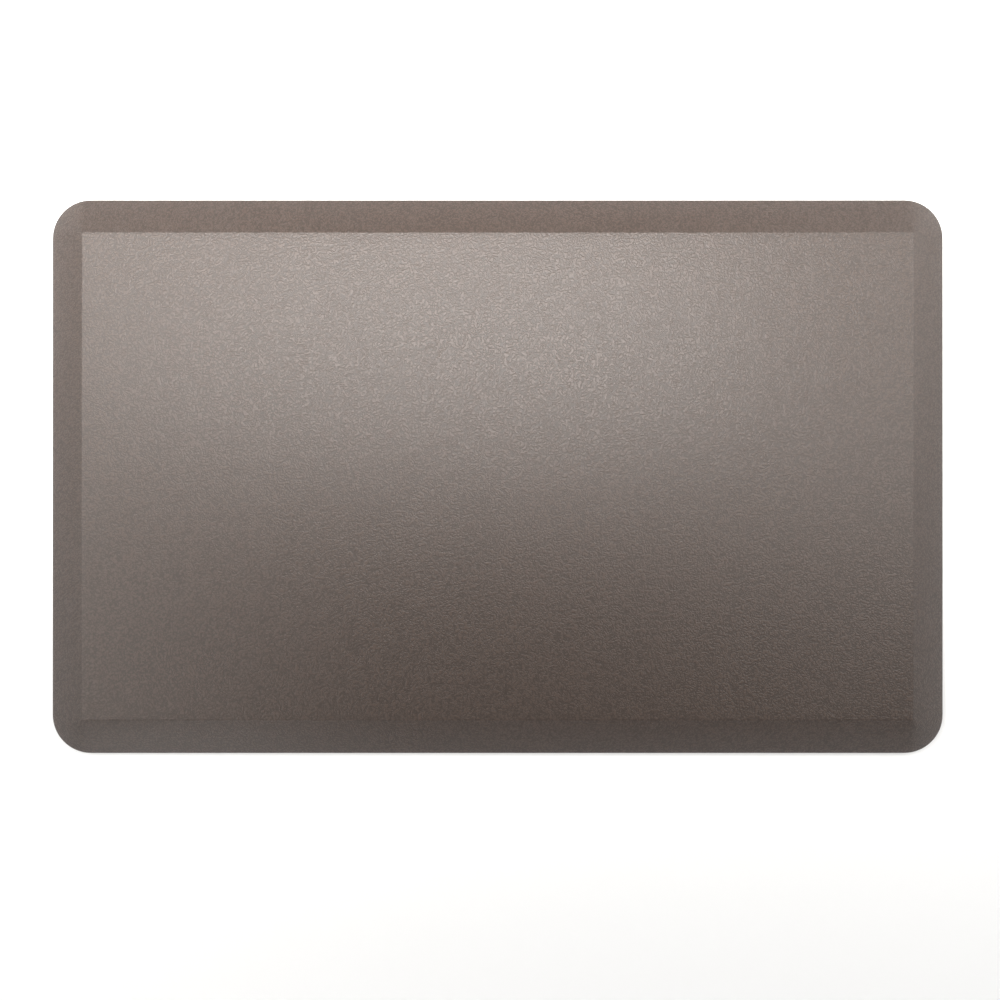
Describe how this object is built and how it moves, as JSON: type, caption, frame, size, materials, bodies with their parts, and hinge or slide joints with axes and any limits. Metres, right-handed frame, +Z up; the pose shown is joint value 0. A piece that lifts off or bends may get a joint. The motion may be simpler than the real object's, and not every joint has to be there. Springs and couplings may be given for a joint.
{
  "type": "anti fatigue mat",
  "caption": "Flat rectangular standing mat with a leather-grain cover, wide bevelled edges, rounded corners, a foam filling and a treaded non-slip underside.",
  "frame": {"origin": "middle of the mat's footprint, on the floor plane that the underside rests on", "axes": "+X along the mat's long side, +Y along its short side, +Z up out of the standing surface"},
  "size_m": [0.813, 0.505, 0.019],
  "materials": {
    "cover_skin": "satin moulded polyurethane skin with a pebbled leather grain, taupe brown",
    "soft_foam": "matte open-cell polyurethane foam, soft grade, off-white",
    "firm_foam": "matte high-density polyurethane foam, firm grade, grey",
    "sealant": "matte elastic sealant, near black",
    "base_rubber": "matte moulded non-slip rubber, dark brown"
  },
  "bodies": {
    "root": {"top_cover": "cover_skin", "comfort_foam": "soft_foam", "support_foam": "firm_foam", "edge_seal": "sealant", "base_sheet": "base_rubber"}
  },
  "joints": []
}
